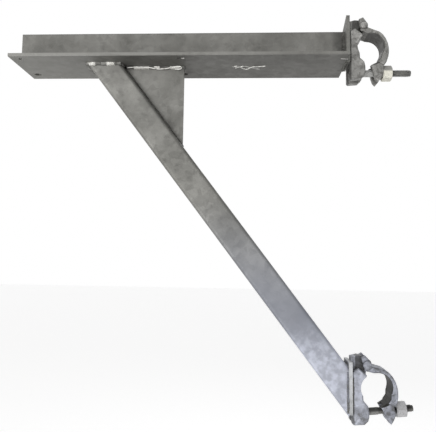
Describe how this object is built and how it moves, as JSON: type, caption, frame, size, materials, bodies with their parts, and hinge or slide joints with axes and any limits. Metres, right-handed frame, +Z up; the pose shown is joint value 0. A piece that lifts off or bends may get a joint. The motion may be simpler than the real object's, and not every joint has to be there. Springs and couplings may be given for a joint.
{
  "type": "scaffold board bracket",
  "caption": "Steel bracket that clamps to a scaffold standard with hinged half couplers; a tee arm on a diagonal brace carries the boards.",
  "frame": {"origin": "centre of the upper tube bore, the tube the bracket is clamped to", "axes": "+X from the arm towards the coupler caps, +Y along both tube bores, +Z up"},
  "size_m": [0.736, 0.12, 0.7284],
  "materials": {
    "frame_steel": "dull galvanised steel, matte and mottled",
    "weld_bead": "rough galvanised weld",
    "coupler_forging": "galvanised forging, satin",
    "zinc_fastener": "zinc plated, satin",
    "bolt_steel": "zinc plated thread, dull"
  },
  "bodies": {
    "frame": {"board_arm": "frame_steel", "brace": "frame_steel", "gusset": "frame_steel", "upper_plate": "frame_steel", "lower_plate": "frame_steel", "arm_end_weld": "weld_bead", "brace_head_weld": "weld_bead", "gusset_weld": "weld_bead", "brace_foot_weld": "weld_bead", "upper_saddle": "coupler_forging", "upper_rivet": "zinc_fastener", "upper_weld": "weld_bead", "lower_saddle": "coupler_forging", "lower_rivet": "zinc_fastener", "lower_weld": "weld_bead"},
    "upper_cap": {"upper_cap": "coupler_forging"},
    "upper_t_bolt": {"upper_t_bolt": "bolt_steel"},
    "upper_nut": {"upper_nut": "zinc_fastener"},
    "lower_cap": {"lower_cap": "coupler_forging"},
    "lower_t_bolt": {"lower_t_bolt": "bolt_steel"},
    "lower_nut": {"lower_nut": "zinc_fastener"}
  },
  "joints": [
    {"name": "upper_cap_hinge", "type": "hinge", "parent": "frame", "child": "upper_cap", "pos_m": [-0.01253, 0, 0.03904], "axis": [0, -1, 0], "range_deg": [0, 18]},
    {"name": "upper_bolt_swing", "type": "hinge", "parent": "frame", "child": "upper_t_bolt", "pos_m": [-0.027, 0, -0.0455], "axis": [0, 1, 0], "range_deg": [0, 95]},
    {"name": "upper_nut_travel", "type": "slide", "parent": "upper_t_bolt", "child": "upper_nut", "axis": [1, 0, 0], "range_m": [0, 0.0352]},
    {"name": "lower_cap_hinge", "type": "hinge", "parent": "frame", "child": "lower_cap", "pos_m": [-0.01253, 0, -0.57096], "axis": [0, -1, 0], "range_deg": [-8, 6]},
    {"name": "lower_bolt_swing", "type": "hinge", "parent": "frame", "child": "lower_t_bolt", "pos_m": [-0.027, 0, -0.6555], "axis": [0, 1, 0], "range_deg": [0, 101]},
    {"name": "lower_nut_travel", "type": "slide", "parent": "lower_t_bolt", "child": "lower_nut", "axis": [0.9945, 0, 0.1045], "range_m": [-0.01565, 0.0118]}
  ],
  "couplings": [
    {"joint": "upper_nut_travel", "follows": "upper_cap_hinge", "m_per_rad": 0.11173},
    {"joint": "lower_nut_travel", "follows": "lower_cap_hinge", "m_per_rad": 0.11173}
  ]
}
